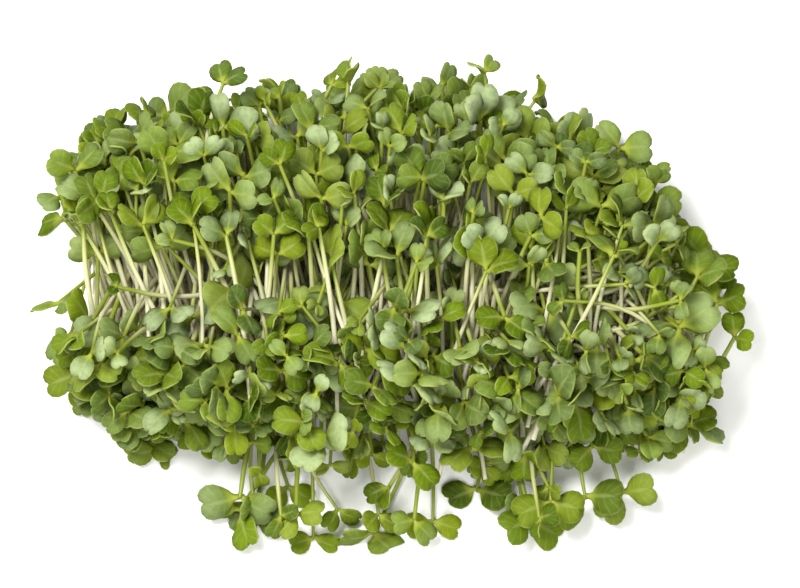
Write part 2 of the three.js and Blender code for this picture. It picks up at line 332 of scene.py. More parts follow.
def sprig_plan(bunch, head, number, draw, rest=(0.1, 0.45), lean_range=(-10, 10)):
    """A first seedling's length, heading and climb, and the middle of its first stretch."""
    lean = LEAN_AT_ENDS * head.x / HALF_LENGTH + draw(*lean_range)
    heading = lean if bunch["side"] > 0 else 180 - lean
    length = draw(*SEEDLING_LENGTH)
    reach = length * (STRETCHES - 0.5) / STRETCHES
    start = Vector((head.x + draw(*HEAD_DRIFT["x"]), head.y + bunch["side"] * draw(*HEAD_DRIFT["y"]), 0))
    start.z = max(LOWEST_START, head.z * draw(*rest))
    climb = math.degrees(math.asin(min(STEEPEST, (head.z - start.z) / reach)))
    start -= direction(heading, 0) * reach * math.cos(math.radians(climb))
    hand = 1 if number % 2 else -1
    return {"heading": heading, "climb": climb, "length": length, "start": start, "hand": hand}


def kept_up(point):
    """The point, raised where a stem around it would be below the floor."""
    point.z = max(math.hypot(STEM["width"], STEM["depth"]) / 2 + UNDER_STEM, point.z)
    return point


def seedling(plan, place, through, draw, leaf=LARGE_LEAF, curve=1):
    """The points that a stem bends at, and its pair of leaves. Curve is how much more the stem bends."""
    heading = plan["heading"] + plan["hand"] * SEEDLINGS[place]["turn"] + draw(*OWN_HEADING)
    climb = plan["climb"] + draw(*OWN_CLIMB)
    stretch = plan["length"] * (1 if place == 0 else draw(*OWN_STRETCH)) / STRETCHES
    bend = curve * draw(*BEND)
    curl = draw(*CURL)
    first = direction(heading + bend, climb * FIRST_CLIMB)
    cut = kept_up(through - first * (stretch / 2))
    lower = kept_up(through + first * (stretch / 2))
    upper = kept_up(lower + direction(heading, climb + curl) * stretch)
    end = direction(heading - bend, climb - curl)
    top = kept_up(upper + end * stretch)

    tip = end + UP * draw(*TIP_LIFT)
    tip.normalize()
    level = Vector((tip.y, -tip.x, 0)).normalized()
    level.rotate(Quaternion(tip, math.radians(draw(-leaf["roll"], leaf["roll"]))))
    facing_up = level.cross(tip).normalized()
    length = draw(*leaf["length"])
    leaves = []
    for side in (1, -1):
        spread = math.radians(draw(*leaf["spread"]))
        facing = draw(*leaf["facing"])
        along = tip * math.cos(spread) + level * side * math.sin(spread)
        inward = tip * math.sin(spread) - level * side * math.cos(spread)
        normal = (inward * (1 - facing) + facing_up * facing).normalized()
        size = length * draw(*PAIR_SIZE)
        leaves.append({
            "base": top,
            "along": along,
            "across": normal.cross(along) * side,
            "normal": normal,
            "length": size,
            "breadth": size * draw(*leaf["breadth"]),
            "droop": draw(*leaf["droop"]) * size,
            "fold": draw(*leaf["fold"]),
        })
    return {"path": [cut, lower, upper, top], "leaves": leaves, "greening_and_bounce_light": 0}


def leaf_point(leaf, spot):
    """A point halfway through a leaf's thickness."""
    along, across = spot["along"], spot["across"]
    height = leaf["fold"] * abs(across) * leaf["breadth"] - leaf["droop"] * along * along
    flat = leaf["along"] * (along * leaf["length"]) + leaf["across"] * (across * leaf["breadth"])
    return leaf["base"] + flat + leaf["normal"] * height


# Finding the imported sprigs' seedlings again


def lobe_tips(plant):
    """The upper corners of a solid seedling's four lobes, in metres."""
    for leaf in plant["leaves"]:
        for side in (1, -1):
            point = leaf_point(leaf, {"along": LOBE_TIP["along"], "across": side * LOBE_TIP["across"]})
            upper = point + leaf["normal"] * (LEAF_THICKNESS / 2)
            lower = point - leaf["normal"] * (LEAF_THICKNESS / 2)
            upper.z -= min(0, upper.z, lower.z)
            yield (upper - BOX_MIDDLE) * MM


def packed_seedlings(bunch, head, number, node):
    """The seedlings that a packed sprig is made of: the first draws whose lobes are corners of its mesh."""
    corners = node.data.vertices
    tree = KDTree(len(corners))
    for index, corner in enumerate(corners):
        tree.insert(corner.co, index)
    tree.balance()
    found = {}
    plan = None
    for place, rule in enumerate(SEEDLINGS):
        if place and rule["crosses"] not in found:
            continue  # its carrier found no room, so it isn't there either
        for attempt in range(TRIES):
            draw = seeded_draw(number * SPRIG_SEEDS + place * PLACE_SEEDS + attempt)
            if place == 0:
                plan = sprig_plan(bunch, head, number, draw)
                through = plan["start"]
            else:
                path = found[rule["crosses"]]["path"]
                through = path[0].lerp(path[1], rule["share"])
            plant = seedling(plan, place, through, draw)
            if all(tree.find(tip)[2] < MATCH * MM for tip in lobe_tips(plant)):
                found[place] = plant
                break
    return list(found.values())


# Laying the seedlings that fill the heap


def coarse_skin(plant):
    """The upper part of a stem, three-sided, and two flat leaves, which stand for a seedling in the tests."""
    points, faces = [], []
    path = plant["path"][1:]
    for low, high in zip(path, path[1:]):
        start = len(points)
        wide = (high - low).cross(UP).normalized() * (STEM["width"] / 3)
        deep = wide.cross(high - low).normalized() * (STEM["width"] / 3)
        for end in (low, high):
            points += [end + wide, end - wide, end + deep]
        for side in range(3):
            after = (side + 1) % 3
            faces.append((start + side, start + after, start + 3 + after, start + 3 + side))
    for leaf in plant["leaves"]:
        start = len(points)
        spots = [NOTCH, LOBE_TIP, WIDEST, {"along": 0.12, "across": 0}]
        spots += [{"along": spot["along"], "across": -spot["across"]} for spot in (WIDEST, LOBE_TIP)]
        points += [leaf_point(leaf, spot) for spot in spots]
        faces += [(start, start + 1, start + 2, start + 3), (start, start + 3, start + 4, start + 5)]
    return points, faces


class Laid:
    """The seedlings already laid, and how many faces of a new one would pass through theirs."""

    def __init__(self):
        self.trees = []
        self.boxes = []

    def add(self, points, faces):
        corners = np.array(points)
        self.trees.append(BVHTree.FromPolygons(points, faces))
        self.boxes.append(np.concatenate([corners.min(axis=0), -corners.max(axis=0)]))

    def crossings(self, points, faces, limit):
        corners = np.array(points)
        far_sides = np.concatenate([corners.max(axis=0), -corners.min(axis=0)])
        near = np.nonzero((np.array(self.boxes) < far_sides).all(axis=1))[0]
        tree = BVHTree.FromPolygons(points, faces)
        count = 0
        for index in near:
            count += len(tree.overlap(self.trees[index]))
            if count >= limit:
                break
        return count


def inside_box(points):
    """True where all points are above the floor and inside the model's box."""
    low, high = (np.array(corner) / MM for corner in cad_box)
    corners = np.array(points) - np.array(BOX_MIDDLE)
    return (corners > low + BOX_MARGIN).all() and (corners < high - BOX_MARGIN).all()


def inside_plan(points):
    """True where no point is beyond the ends of the heap."""
    return all(outline_at(LEFT_END, point.y) < point.x < outline_at(RIGHT_END, point.y) for point in points)


def filling_head(bunch, spot, draw):
    """A place for a filling seedling's head: near its place in a row, or anywhere in a stray's box."""
    if "column" in spot:
        head = head_in_row(bunch, spot, spot["column"], draw(*spot["reach"]))
        return head + Vector((draw(*FILL_DRIFT["x"]), draw(*FILL_DRIFT["y"]), 0))
    return Vector(draw(*spot[axis]) for axis in ("x", "y", "z"))


def greening_and_bounce_at(outward):
    """How much further down a stem is green, at a share of the way out from the heap's middle: partly its own
    green, partly painted green bounce light in the heap's shade.
    """
    return EDGE_GREENING_AND_BOUNCE * min(1, max(0, (outward - PALE_MIDDLE) / (1 - PALE_MIDDLE)))


def filling_seedling(bunch, spot, laid):
    """A small seedling over a bunch: it is drawn a few times, and the freest place is kept."""
    best = None
    fewest = MOST_CROSSINGS
    leaf = {**SMALL_LEAF, "length": spot["leaf"]}
    for attempt in range(FILL_TRIES):
        draw = seeded_draw(spot["seed"] * TRY_SEEDS + attempt)
        head = filling_head(bunch, spot, draw)
        plan = sprig_plan(bunch, head, spot["seed"], draw, spot["rest"], spot.get("lean", (-10, 10)))
        plant = seedling(plan, 0, plan["start"], draw, leaf, spot.get("curve", 1))
        plant["greening_and_bounce_light"] = spot.get("greening_and_bounce_light", greening_and_bounce_at(spot.get("depth", 0)))
        points, faces = coarse_skin(plant)
        whole = points + plant["path"][:1]
        if not inside_box(whole) or not inside_plan(whole):
            continue
        crossings = laid.crossings(points, faces, fewest)
        if crossings < fewest:
            fewest = crossings
            best = (plant, points, faces)
        if fewest == 0:
            break
    if best is None:
        return None
    laid.add(best[1], best[2])
    return best[0]


def filling_spots():
    """Where a filling seedling is tried, with its bunch's name: row by row over both, then the strays."""
    for step in range(max(len(rows) for rows in FILL_ROWS.values())):
        for name, rows in FILL_ROWS.items():
            if step >= len(rows):
                continue
            first_seed = FILL_SEED[name] + ROW_SEEDS * step
            for column in range(rows[step]["columns"]):
                yield name, {**rows[step], "column": column, "seed": first_seed + column}
    for stray in STRAYS:
        for index in range(stray["count"]):
            yield stray["bunch"], {**stray, "seed": stray["seed"] + index}


def filling_seedlings(laid):
    """The seedlings that fill each bunch."""
    plants = {name: [] for name in BUNCHES}
    for name, spot in filling_spots():
        plant = filling_seedling({**BUNCHES[name], **FILL_LINES[name]}, spot, laid)
        if plant:
            plants[name].append(plant)
    return plants


# Meshes

# Half a leaf's outline, from its stalk to the notch: along and across, as shares of its length and breadth
LEAF_OUTLINE = [
    (0, 0.05), (0.09, 0.05), (0.17, 0.1), (0.25, 0.25), (0.38, 0.41), (0.55, 0.5), (0.74, 0.51), (0.9, 0.43),
    (0.985, 0.27), (0.965, 0.11), (0.88, 0),
]
STALK_ROWS = 2  # the outline's first rows, which lie straight across the stalk
MIDRIB_END = 0.8
FINE_THICKNESS = 0.42
BLOOM_AT_SHADED_FOOT = 0.25  # how waxy leaves at the foot of the heap may be, where those at its top may be 1: painted shade and light, so that low leaves look darker and more saturated and high ones paler
FEW_WAXY = 2.2  # the higher this power, the fewer leaves are very waxy
FEW_YOUNG = 4  # and the fewer are young and yellow
STEM_GIRTH = (0.7, 1.0)  # as a share of the stem radius in the tree
STEM_TAPER = (1.0, 1.0, 0.94, 0.8)  # at the points of a stem, from its cut end to its head
RIM_ROOM = 0.7  # what a leaf's thickness, curl and ripple may add
SHRINK = 0.97  # what a leaf is made smaller by, as often as it has to be
TONE_IN_PAIR = (-0.3, 0.3)  # how much a leaf's tone differs from its seedling's


def flat_leaf():
    """A flat leaf one unit long and wide, with rows that fan out from its midrib as its veins do."""
    rows = len(LEAF_OUTLINE) - 1
    points, spots = [], []
    index_of = {}
    for row, (along, across) in enumerate(LEAF_OUTLINE):
        share = max(0, row - STALK_ROWS) / (rows - STALK_ROWS)
        stalk_end = LEAF_OUTLINE[min(row, STALK_ROWS)][0]
        rib = stalk_end + (MIDRIB_END - stalk_end) * share
        for column in (-2, -1, 0, 1, 2):
            out = abs(column) / 2
            if row == rows and column < 0:
                index_of[row, column] = None
                continue
            index_of[row, column] = len(points)
            side = 1 if column >= 0 else -1
            points.append((side * out * across, rib + (along - rib) * out, 0))
            spots.append((row / rows, out))
    for column in (-2, -1):
        index_of[rows, column] = index_of[rows, -column]
    faces = []
    for row in range(rows):
        for column in (-2, -1, 0, 1):
            faces.append([index_of[row, column], index_of[row, column + 1],
                          index_of[row + 1, column + 1], index_of[row + 1, column]])
    mesh = bpy.data.meshes.new("flat_leaf")
    mesh.from_pydata(points, [], faces)
    for name, values in (
        ("leaf_across", [point[0] for point in points]),
        ("leaf_along", [point[1] for point in points]),
        ("leaf_row", [spot[0] for spot in spots]),
        ("leaf_out", [spot[1] for spot in spots]),
    ):
        mesh.attributes.new(name, "FLOAT", "POINT").data.foreach_set("value", values)
    return bpy.data.objects.new("flat_leaf", mesh)


def fitted(leaf):
    """A leaf made a little smaller where its rounded rim would stand out of the model's box."""
    low, high = (np.array(corner) / MM + np.array(BOX_MIDDLE) for corner in cad_box)
    while True:
        rim = np.array([leaf_point(leaf, {"along": along, "across": side * across})
                        for along, across in LEAF_OUTLINE for side in (1, -1)])
        if (rim[:, :2] > low[:2] + RIM_ROOM).all() and (rim < high - RIM_ROOM).all():
            return leaf
        leaf = {**leaf, "length": leaf["length"] * SHRINK, "breadth": leaf["breadth"] * SHRINK}


def guide_mesh(name, plants, seed):
    """Each seedling's stem as a line, and each leaf as a point that knows its size, turn and bend."""
    draw = seeded_draw(seed)
    points, edges = [], []
    numbers = {"girth": [], "tone": [], "youth": [], "greening_and_bounce_light": [], "bloom_and_shade": []}
    vectors = {"leaf_heading": [], "leaf_normal": [], "leaf_size": [], "leaf_bend": []}
    is_leaf = []

    def add_point(place, leafy, **values):
        points.append((place - BOX_MIDDLE) * MM)
        is_leaf.append(leafy)
        for key, column in numbers.items():
            column.append(values[key])
        for key, column in vectors.items():
            column.extend(values.get(key, UP))

    for plant in plants:
        girth = draw(*STEM_GIRTH)
        # The bloom's random share per seedling is its own wax. Its fall with the head's height is painted shade
        # and light: low leaves darker and more saturated, high ones paler.
        bloom_cap_by_painted_light = min(1, plant["path"][-1].z / HEAP_HEIGHT + BLOOM_AT_SHADED_FOOT)
        about = {
            "bloom_and_shade": bloom_cap_by_painted_light * draw() ** FEW_WAXY,
            "tone": draw(),
            "youth": draw() ** FEW_YOUNG,
            "greening_and_bounce_light": plant["greening_and_bounce_light"],
        }
        for index, (place, taper) in enumerate(zip(plant["path"], STEM_TAPER)):
            if index:
                edges.append((len(points) - 1, len(points)))
            add_point(place, False, girth=girth * taper, **about)
        for leaf in map(fitted, plant["leaves"]):
            size = Vector((leaf["breadth"], leaf["length"], leaf["breadth"])) * MM
            ripple_start = draw(0, 6.28)
            bend = Vector((leaf["fold"], leaf["droop"] * MM, ripple_start))
            own_tone = min(1, max(0, about["tone"] + draw(*TONE_IN_PAIR)))
            add_point(leaf["base"], True, **{**about, "girth": 1, "tone": own_tone},
                      leaf_heading=leaf["along"], leaf_normal=leaf["normal"], leaf_size=size, leaf_bend=bend)

    mesh = bpy.data.meshes.new(name)
    mesh.from_pydata(points, edges, [])
    mesh.attributes.new("is_leaf", "BOOLEAN", "POINT").data.foreach_set("value", is_leaf)
    for key, values in numbers.items():
        mesh.attributes.new(key, "FLOAT", "POINT").data.foreach_set("value", values)
    for key, values in vectors.items():
        mesh.attributes.new(key, "FLOAT_VECTOR", "POINT").data.foreach_set("vector", values)
    return mesh


def add_node(tree, kind, inputs=None, **settings):
    """Adds a node with its settings. An input is a value, or the output socket that it is linked from."""
    node = tree.nodes.new(kind)
    for key, value in settings.items():
        setattr(node, key, value)
    for key, value in (inputs or {}).items():
        if isinstance(value, bpy.types.NodeSocket):
            tree.links.new(value, node.inputs[key])
        else:
            node.inputs[key].default_value = value
    return node


TREE_INPUTS = [
    ("Geometry", "NodeSocketGeometry", None),
    ("Leaf Shape", "NodeSocketObject", None),
    ("Leaf Thickness", "NodeSocketFloat", FINE_THICKNESS * MM),
    ("Leaf Rim Curl", "NodeSocketFloat", 0.1),
    ("Leaf Ripple", "NodeSocketFloat", 0.045),
    ("Stem Radius", "NodeSocketFloat", 0.88 * MM),
    ("Stem Sides", "NodeSocketInt", 7),
    ("Stem Steps", "NodeSocketInt", 4),
    ("Merge Distance", "NodeSocketFloat", 0.002 * MM),
    ("Floor Gap", "NodeSocketFloat", 0.02 * MM),
    ("Leaf Material", "NodeSocketMaterial", None),
    ("Stem Material", "NodeSocketMaterial", None),
]


# What the tree reads from a guide and from the flat leaf
TREE_ATTRIBUTES = {
    "is_leaf": "BOOLEAN",
    "girth": "FLOAT",
    "leaf_across": "FLOAT",
    "leaf_along": "FLOAT",
    "leaf_out": "FLOAT",
    "leaf_heading": "FLOAT_VECTOR",
    "leaf_normal": "FLOAT_VECTOR",
    "leaf_size": "FLOAT_VECTOR",
    "leaf_bend": "FLOAT_VECTOR",
}

# How far a point of the flat leaf moves: the leaf is folded along its midrib, its rim is curled down and
# rippled, and it droops towards its tip. Each step is a name, an operation and what it works on.
ROUND_FOLD = 0.06  # how round the fold is at the midrib
RIPPLES_ALONG = 8
RIPPLES_ACROSS = 6
BEND_STEPS = [
    ("across_squared", "MULTIPLY", "leaf_across", "leaf_across"),
    ("rounded_square", "ADD", "across_squared", ROUND_FOLD ** 2),
    ("rounded", "SQRT", "rounded_square", 0),
    ("from_midrib", "SUBTRACT", "rounded", ROUND_FOLD),
    ("folded", "MULTIPLY", "fold", "from_midrib"),
    ("near_rim", "POWER", "leaf_out", 4),
    ("curled", "MULTIPLY", "Leaf Rim Curl", "near_rim"),
    ("ripples_along", "MULTIPLY", "leaf_along", RIPPLES_ALONG),
    ("ripples_across", "MULTIPLY", "leaf_across", RIPPLES_ACROSS),
    ("ripples", "ADD", "ripples_along", "ripples_across"),
    ("own_ripples", "ADD", "ripples", "ripple_start"),
    ("wave", "SINE", "own_ripples", 0),
    ("outer_wave", "MULTIPLY", "wave", "leaf_out"),
    ("rippled", "MULTIPLY", "Leaf Ripple", "outer_wave"),
    ("folded_and_curled", "SUBTRACT", "folded", "curled"),
    ("share_of_breadth", "ADD", "folded_and_curled", "rippled"),
    ("raised", "MULTIPLY", "share_of_breadth", "breadth"),
    ("along_squared", "MULTIPLY", "leaf_along", "leaf_along"),
    ("drooped", "MULTIPLY", "droop", "along_squared"),
    ("height", "SUBTRACT", "raised", "drooped"),
    ("half_thickness", "MULTIPLY", "Leaf Thickness", 0.5),
    ("under_face", "SUBTRACT", "height", "half_thickness"),
]


def pressed_up(tree, geometry, lowest):
    """Points that would be lower than this lie at it."""
    place = add_node(tree, "GeometryNodeInputPosition")
    x, y, z = add_node(tree, "ShaderNodeSeparateXYZ", {0: place.outputs[0]}).outputs
    kept_z = add_node(tree, "ShaderNodeMath", {0: z, 1: lowest}, operation="MAXIMUM").outputs[0]
    above = add_node(tree, "ShaderNodeCombineXYZ", {"X": x, "Y": y, "Z": kept_z})
    return add_node(tree, "GeometryNodeSetPosition", {"Geometry": geometry, "Position": above.outputs[0]})


def seedling_tree():
    """Geometry nodes that turn a guide into stems on smooth curves, and leaves with two faces and a rim."""
    tree = bpy.data.node_groups.new("Seedlings", "GeometryNodeTree")
    for name, kind, value in TREE_INPUTS:
        socket = tree.interface.new_socket(name=name, in_out="INPUT", socket_type=kind)
        if value is not None:
            socket.default_value = value
    tree.interface.new_socket(name="Geometry", in_out="OUTPUT", socket_type="NodeSocketGeometry")
    given = tree.nodes.new("NodeGroupInput").outputs

    fields = {name: given[name] for name in ("Leaf Thickness", "Leaf Rim Curl", "Leaf Ripple")}
    for name, kind in TREE_ATTRIBUTES.items():
        reader = add_node(tree, "GeometryNodeInputNamedAttribute", {"Name": name}, data_type=kind)
        fields[name] = reader.outputs["Attribute"]
    parts = add_node(tree, "GeometryNodeSeparateGeometry",
                     {"Geometry": given["Geometry"], "Selection": fields["is_leaf"]}, domain="POINT")

    # Stems
    lines = add_node(tree, "GeometryNodeMeshToCurve", {"Mesh": parts.outputs["Inverted"]})
    curves = add_node(tree, "GeometryNodeCurveSplineType", {"Curve": lines.outputs[0]},
                      spline_type="CATMULL_ROM")
    smooth = add_node(tree, "GeometryNodeSetSplineResolution",
                      {"Geometry": curves.outputs[0], "Resolution": given["Stem Steps"]})
    factor = add_node(tree, "GeometryNodeSplineParameter").outputs["Factor"]
    marked = add_node(tree, "GeometryNodeStoreNamedAttribute",
                      {"Geometry": smooth.outputs[0], "Name": "stem_along", "Value": factor}, domain="POINT")
    ring = add_node(tree, "GeometryNodeCurvePrimitiveCircle",
                    {"Resolution": given["Stem Sides"], "Radius": given["Stem Radius"]})
    stems = add_node(tree, "GeometryNodeCurveToMesh",
                     {"Curve": marked.outputs[0], "Profile Curve": ring.outputs[0], "Scale": fields["girth"],
                      "Fill Caps": True})

    # Leaves, laid flat at their places
    shape = add_node(tree, "GeometryNodeObjectInfo", {"Object": given["Leaf Shape"]})
    turn = add_node(tree, "FunctionNodeAxesToRotation",
                    {"Primary Axis": fields["leaf_heading"], "Secondary Axis": fields["leaf_normal"]},
                    primary_axis="Y", secondary_axis="Z")
    placed = add_node(tree, "GeometryNodeInstanceOnPoints",
                      {"Points": parts.outputs["Selection"], "Instance": shape.outputs["Geometry"],
                       "Rotation": turn.outputs[0], "Scale": fields["leaf_size"]})
    flat = add_node(tree, "GeometryNodeRealizeInstances", {"Geometry": placed.outputs[0]})

    # Leaves, bent
    fields["breadth"] = add_node(tree, "ShaderNodeSeparateXYZ", {0: fields["leaf_size"]}).outputs["X"]
    bend = add_node(tree, "ShaderNodeSeparateXYZ", {0: fields["leaf_bend"]})
    fields["fold"], fields["droop"], fields["ripple_start"] = bend.outputs
    for name, operation, first, second in BEND_STEPS:
        terms = {0: fields.get(first, first), 1: fields.get(second, second)}
        fields[name] = add_node(tree, "ShaderNodeMath", terms, operation=operation).outputs[0]
    offset = add_node(tree, "ShaderNodeVectorMath",
                      {0: fields["leaf_normal"], "Scale": fields["under_face"]}, operation="SCALE")
    bent = add_node(tree, "GeometryNodeSetPosition",
                    {"Geometry": flat.outputs[0], "Offset": offset.outputs[0]})

    # Leaves, given their thickness: the lower face, the upper face that is pushed out of it, and the rim
    lower = pressed_up(tree, bent.outputs[0], given["Leaf Thickness"])
    pushed = add_node(tree, "GeometryNodeExtrudeMesh",
                      {"Mesh": lower.outputs[0], "Offset Scale": given["Leaf Thickness"],
                       "Individual": False})
    upper_side = add_node(tree, "GeometryNodeStoreNamedAttribute",
                          {"Geometry": pushed.outputs["Mesh"], "Name": "leaf_upper",
                           "Value": pushed.outputs["Top"]}, domain="FACE")
    under_side = add_node(tree, "GeometryNodeFlipFaces", {"Mesh": lower.outputs[0]})
    both = add_node(tree, "GeometryNodeJoinGeometry", {0: upper_side.outputs[0]})
    tree.links.new(under_side.outputs[0], both.inputs[0])
    leaves = add_node(tree, "GeometryNodeMergeByDistance",
                      {"Geometry": both.outputs[0], "Distance": given["Merge Distance"]})

    together = add_node(tree, "GeometryNodeJoinGeometry", {0: stems.outputs[0]})
    tree.links.new(leaves.outputs[0], together.inputs[0])
    kept = pressed_up(tree, together.outputs[0], given["Floor Gap"])
    soft = add_node(tree, "GeometryNodeSetShadeSmooth", {"Geometry": kept.outputs[0], "Shade Smooth": True})
    real = add_node(tree, "GeometryNodeRealizeInstances", {"Geometry": soft.outputs[0]})
    stemmed = add_node(tree, "GeometryNodeSetMaterial",
                       {"Geometry": real.outputs[0], "Material": given["Stem Material"]})
    leafed = add_node(tree, "GeometryNodeSetMaterial",
                      {"Geometry": stemmed.outputs[0], "Selection": fields["is_leaf"],
                       "Material": given["Leaf Material"]})
    add_node(tree, "NodeGroupOutput", {0: leafed.outputs[0]})
    return tree


def plants_piece(name, plants, seed, tree, sizes):
    """One plain mesh of finished seedlings, which rides with the heap."""
    guide = bpy.data.objects.new(f"{name}_guide", guide_mesh(f"{name}_guide", plants, seed))
    bpy.context.scene.collection.objects.link(guide)
    nodes = guide.modifiers.new("seedlings", "NODES")
    nodes.node_group = tree
    for socket in tree.interface.items_tree:
        if socket.in_out == "INPUT" and socket.name in sizes:
            nodes[socket.identifier] = sizes[socket.name]
    bpy.context.view_layer.update()
    evaluated = guide.evaluated_get(bpy.context.evaluated_depsgraph_get())
    mesh = bpy.data.meshes.new_from_object(evaluated)
    mesh.name = name
    piece = bpy.data.objects.new(name, mesh)
    bpy.context.scene.collection.objects.link(piece)
    bpy.data.objects.remove(guide)
    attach(piece, "root")
    return piece


# Materials

# Patterns to the metre
PATCHES = 700.0  # in the waxy bloom, 1.4 mm each
CELLS = 3200.0  # of the leaf's skin, 0.3 mm each: coarser than real ones, which are too fine to show
STREAKS = 900.0  # along a stem, 1.1 mm each
BOARD_GRAIN = 300.0  # left by the roller, 3.3 mm each

SIDE_VEIN_TURNS = 44.0  # of a sine wave from stalk to notch, in radians: seven pairs of side veins
MOST_YELLOW = 0.85  # in a young leaf
GLOW_SHARE = 0.7  # of yellow-green in the light that comes through a leaf

# A mix node's colour sockets, which share their names with others
MIX_FIRST = 6
MIX_SECOND = 7
MIX_RESULT = 2


def linear(hex_colour, alpha=1.0):
    """An sRGB hex colour as linear red, green, blue and alpha."""
    values = [int(hex_colour[index:index + 2], 16) / 255 for index in (1, 3, 5)]
    colour = [value / 12.92 if value <= 0.04045 else ((value + 0.055) / 1.055) ** 2.4 for value in values]
    return colour + [alpha]


def new_material(name):
    material = bpy.data.materials.new(name)
    material.use_nodes = True
    material.node_tree.nodes.clear()
    return material, material.node_tree


def waxy_seed_leaf():
    """A mustard seed leaf, with a thin waxy bloom on its upper face: it looks grey-green from above, paler
    below, and glows yellow-green where light comes through. Its veins and rim are pale. The bloom also
    carries painted shade and light: it is thinner on leaves low in the heap, which look darker and more
    saturated, and fuller on those at its top, which look paler."""
    material, tree = new_material("waxy mustard seed leaf")
    place = add_node(tree, "ShaderNodeTexCoord").outputs["Object"]
    found = {}
    for name in ("tone", "youth", "bloom_and_shade", "leaf_upper", "leaf_along", "leaf_out", "leaf_row"):
        found[name] = add_node(tree, "ShaderNodeAttribute", attribute_name=name).outputs["Fac"]
    for name, per_metre, detail in (("patches", PATCHES, 3.0), ("cells", CELLS, 2.0)):
        noise = add_node(tree, "ShaderNodeTexNoise", {"Vector": place, "Scale": per_metre, "Detail": detail})
        found[name] = noise.outputs["Fac"]
    turns = add_node(tree, "ShaderNodeMath", {0: found["leaf_row"], 1: SIDE_VEIN_TURNS}, operation="MULTIPLY")
    wave = add_node(tree, "ShaderNodeMath", {0: turns.outputs[0]}, operation="SINE")
    found["row_wave"] = wave.outputs[0]

    # Smooth steps: what each is read from, where it begins and ends, and its value there
    for name, source, begins, ends, first, last in (
        ("patchy", "patches", -0.3, 0.7, 0, 1),
        ("towards_tip", "leaf_along", 0.05, 0.85, 0, 1),
        ("rib", "leaf_out", 0.03, 0.2, 0.3, 0),
        ("side_veins", "row_wave", 0.8, 1.0, 0, 0.16),
        ("rim", "leaf_out", 0.9, 1.0, 0, 0.3),
        ("stalk", "leaf_along", 0.14, 0.42, 1, 0),
    ):
        step = add_node(tree, "ShaderNodeMapRange",
                        {"Value": found[source], "From Min": begins, "From Max": ends, "To Min": first,
                         "To Max": last}, interpolation_type="SMOOTHSTEP")
        found[name] = step.outputs[0]
    # The bloom's share holds painted shade: it is smaller on leaves low in the heap and larger on those at its
    # top.
    for name, operation, first, second in (
        ("patchy_bloom_and_shade", "MULTIPLY", "patchy", "bloom_and_shade"),
        ("waxy_and_shaded", "MULTIPLY", "patchy_bloom_and_shade", "towards_tip"),
        ("young", "MULTIPLY", "youth", MOST_YELLOW),
        ("rib_and_veins", "MAXIMUM", "rib", "side_veins"),
        ("veins", "MAXIMUM", "rib_and_veins", "rim"),
    ):
        terms = {0: found.get(first, first), 1: found.get(second, second)}
        found[name] = add_node(tree, "ShaderNodeMath", terms, operation=operation).outputs[0]

    # Colours, each blended from the first to the second by a share
    for name, share, first, second in (
        ("green", "tone", "#3A5202", "#6C820E"),
        # Painted shade and light: less pale bloom on leaves low in the heap, so they look darker, and more on
        # top ones, so they look paler.
        ("bloomed_and_shaded", "waxy_and_shaded", "green", "#B4C492"),
        ("upper", "young", "bloomed_and_shaded", "#84921A"),
        ("under", "tone", "#6C7C14", "#9CA848"),
        ("face", "leaf_upper", "under", "upper"),
        ("veined", "veins", "face", "#B4BE78"),
        ("colour", "stalk", "veined", "#A3AE42"),
        ("glow", GLOW_SHARE, "colour", "#9CAC10"),
    ):
        ends = [found[end] if end in found else linear(end) for end in (first, second)]
        inputs = {0: found.get(share, share), MIX_FIRST: ends[0], MIX_SECOND: ends[1]}
        found[name] = add_node(tree, "ShaderNodeMix", inputs, data_type="RGBA").outputs[MIX_RESULT]

    bump = add_node(tree, "ShaderNodeBump",
                    {"Strength": 0.25, "Distance": 0.08 * MM, "Height": found["cells"]})
    raised_veins = add_node(tree, "ShaderNodeBump",
                            {"Strength": 0.35, "Distance": 0.12 * MM, "Height": found["veins"],
                             "Normal": bump.outputs[0]})
    skin = add_node(tree, "ShaderNodeBsdfPrincipled",
                    {"Base Color": found["colour"], "Roughness": 0.55, "Specular IOR Level": 0.08,
                     "Normal": raised_veins.outputs[0]})
    through = add_node(tree, "ShaderNodeBsdfTranslucent", {"Color": found["glow"]})
    mixed = add_node(tree, "ShaderNodeMixShader", {0: 0.34, 1: skin.outputs[0], 2: through.outputs[0]})
    add_node(tree, "ShaderNodeOutputMaterial", {"Surface": mixed.outputs[0]})
    return material


